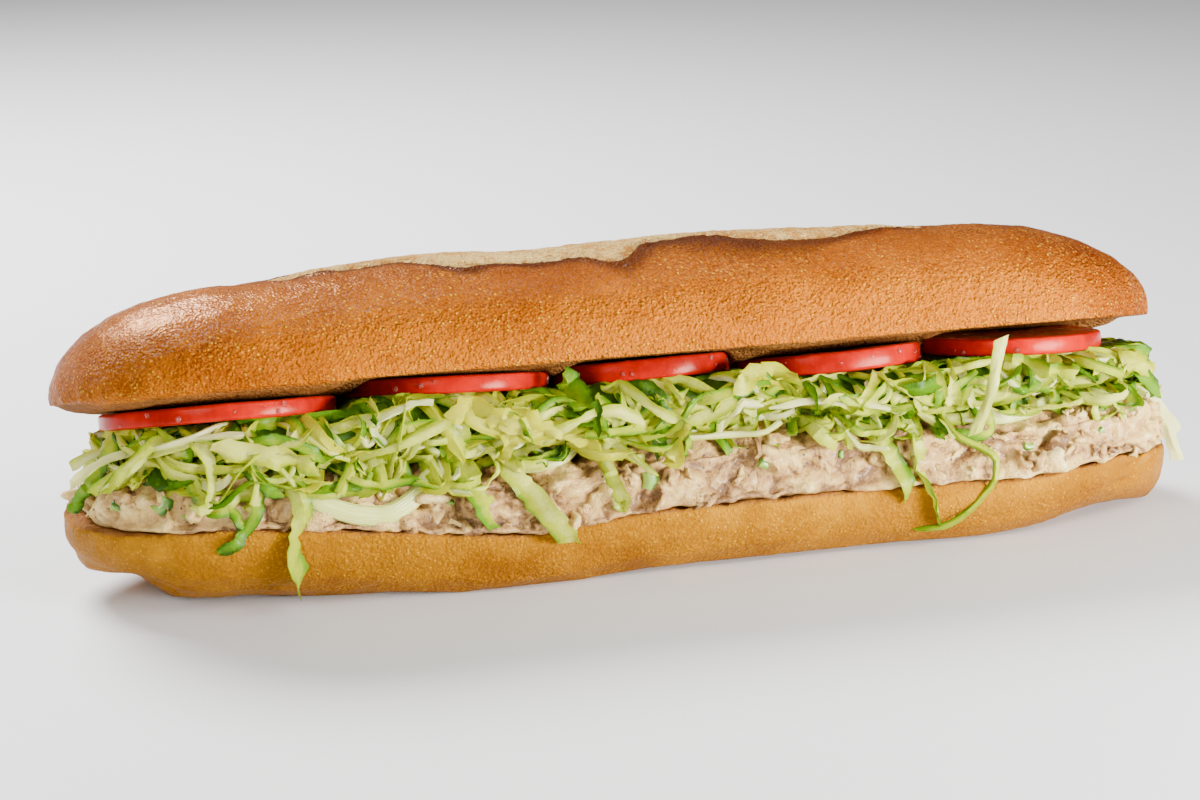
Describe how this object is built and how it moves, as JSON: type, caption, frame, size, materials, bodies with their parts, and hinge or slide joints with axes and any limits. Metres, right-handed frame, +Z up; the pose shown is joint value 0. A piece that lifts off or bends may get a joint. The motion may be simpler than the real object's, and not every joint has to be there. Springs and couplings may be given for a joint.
{
  "type": "submarine sandwich",
  "caption": "Long split roll filled with tuna salad, shredded lettuce, tomato slices and onion, with its upper half leaning open along the front.",
  "frame": {"origin": "middle of the flat that the lower half rests on, at the middle of the roll's length", "axes": "+X along the roll, to its right end as seen from the open side; the open side faces -Y; +Z up from the table"},
  "size_m": [0.318, 0.0817, 0.0834],
  "materials": {
    "crust_top": "golden brown baked crust with a soft shine",
    "crust_bottom": "paler baked crust",
    "tuna": "moist flaked fish salad",
    "lettuce": "crisp leaf shreds",
    "tomato": "wet glossy slice",
    "onion": "wet white onion"
  },
  "bodies": {
    "root": {"top_bun": "crust_top", "bottom_bun": "crust_bottom", "tuna_salad": "tuna", "lettuce": "lettuce", "tomato_1": "tomato", "tomato_2": "tomato", "tomato_3": "tomato", "tomato_4": "tomato", "tomato_5": "tomato", "onion_1": "onion", "onion_2": "onion", "onion_3": "onion", "onion_4": "onion"}
  },
  "joints": []
}
